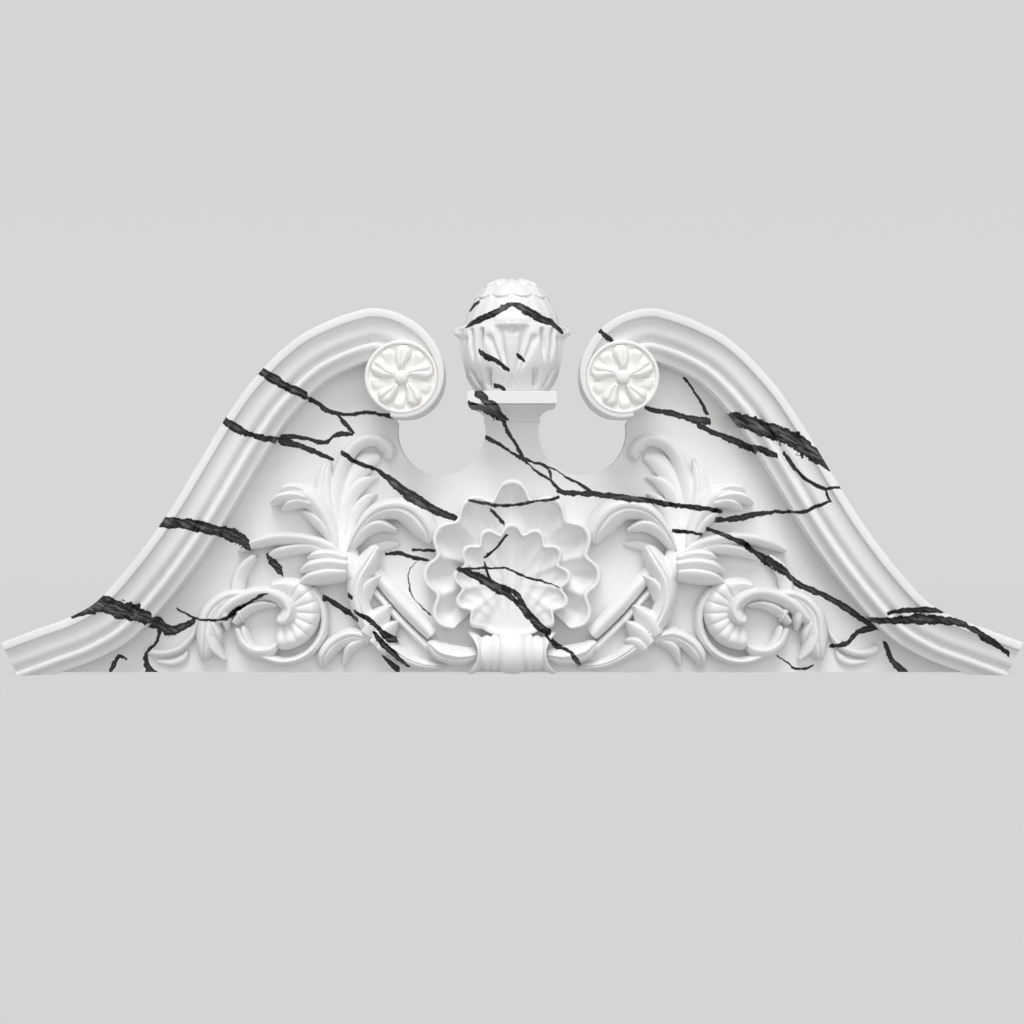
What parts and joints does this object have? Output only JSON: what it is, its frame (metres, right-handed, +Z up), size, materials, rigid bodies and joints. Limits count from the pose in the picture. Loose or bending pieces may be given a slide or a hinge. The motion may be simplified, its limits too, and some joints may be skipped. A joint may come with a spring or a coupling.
{
  "type": "swan-neck overdoor pediment",
  "caption": "Broken scroll overdoor pediment in veined white marble with gooseneck cornices, volute rosettes, carved shell and acanthus scrolls, and a bud finial on a central plinth.",
  "frame": {"origin": "middle of the length and depth, on the plane of the underside", "axes": "+X along the base, +Y towards the wall behind, +Z up; the carved front faces -Y"},
  "size_m": [1.5, 0.159, 0.5905],
  "materials": {
    "veined_marble": "honed white marble with black veins",
    "white_marble": "honed white marble, almost without veins"
  },
  "bodies": {
    "root": {"tympanum": "veined_marble", "cornice_left": "veined_marble", "cornice_right": "veined_marble", "rosette_left": "white_marble", "rosette_right": "white_marble", "finial": "veined_marble"}
  },
  "joints": []
}
